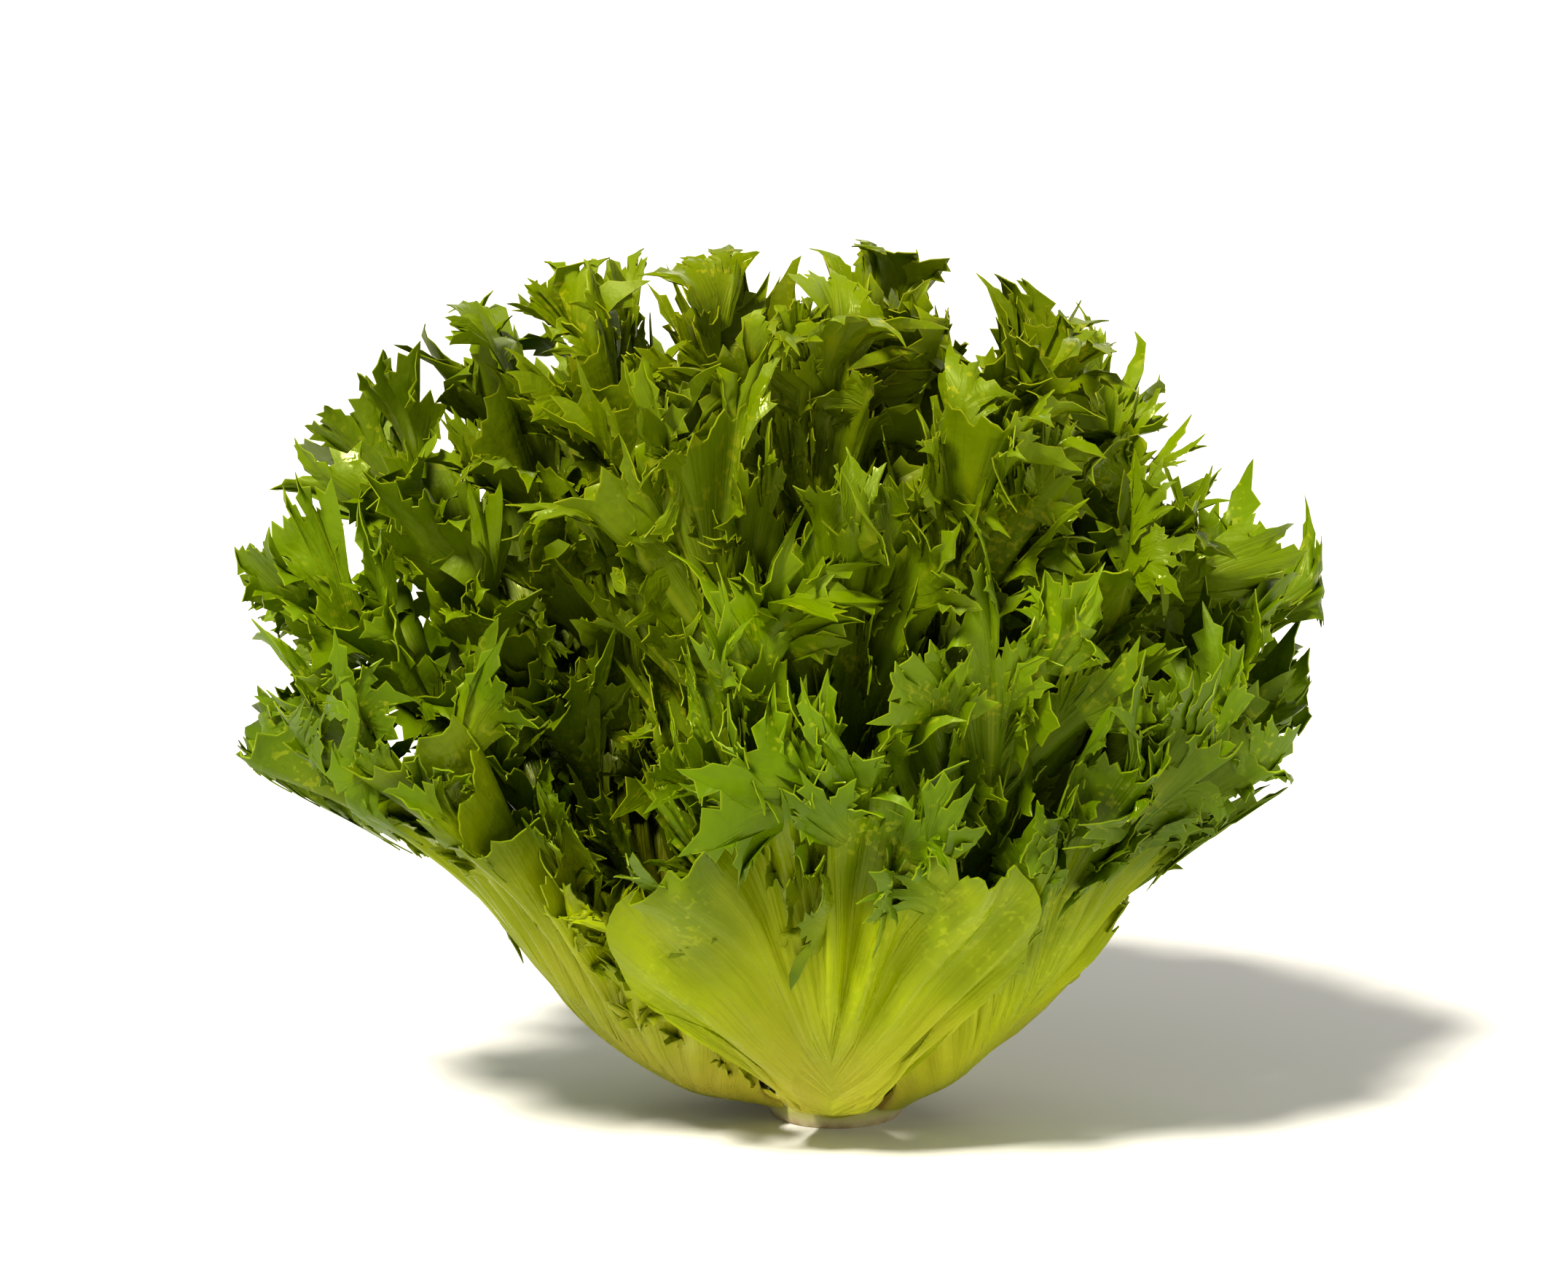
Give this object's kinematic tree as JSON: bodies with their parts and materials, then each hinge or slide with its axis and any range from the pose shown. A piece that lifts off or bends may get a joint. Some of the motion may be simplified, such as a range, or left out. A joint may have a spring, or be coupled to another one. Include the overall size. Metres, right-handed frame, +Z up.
{
  "type": "curly endive head",
  "caption": "Curly endive head standing on its cut stem: a fan of pale-ribbed green leaves with tightly waved and lobed edges.",
  "frame": {"origin": "centre of the flat cut face under the stem, which the head stands on", "axes": "+Z up along the stem, -Y towards the side that the head shows best, +X to the right seen from there"},
  "size_m": [0.2739, 0.2153, 0.2191],
  "materials": {
    "stem": "pale moist plant tissue",
    "outer_leaves": "green leaf, satin and a little translucent",
    "middle_leaves": "green leaf, satin and a little translucent",
    "inner_leaves": "yellow-green leaf, satin and a little translucent"
  },
  "bodies": {
    "root": {"stem": "stem", "outer_leaf_1": "outer_leaves", "outer_leaf_2": "outer_leaves", "outer_leaf_3": "outer_leaves", "outer_leaf_4": "outer_leaves", "outer_leaf_5": "outer_leaves", "outer_leaf_6": "outer_leaves", "second_leaf_1": "outer_leaves", "second_leaf_2": "outer_leaves", "second_leaf_3": "outer_leaves", "second_leaf_4": "outer_leaves", "second_leaf_5": "outer_leaves", "second_leaf_6": "outer_leaves", "third_leaf_1": "middle_leaves", "third_leaf_2": "middle_leaves", "third_leaf_3": "middle_leaves", "third_leaf_4": "middle_leaves", "third_leaf_5": "middle_leaves", "fourth_leaf_1": "middle_leaves", "fourth_leaf_2": "middle_leaves", "fourth_leaf_3": "middle_leaves", "fourth_leaf_4": "middle_leaves", "fourth_leaf_5": "middle_leaves", "fifth_leaf_1": "inner_leaves", "fifth_leaf_2": "inner_leaves", "fifth_leaf_3": "inner_leaves", "fifth_leaf_4": "inner_leaves", "inner_leaf_1": "inner_leaves", "inner_leaf_2": "inner_leaves", "inner_leaf_3": "inner_leaves", "heart_leaf_1": "inner_leaves", "heart_leaf_2": "inner_leaves", "heart_leaf_3": "inner_leaves"}
  },
  "joints": []
}
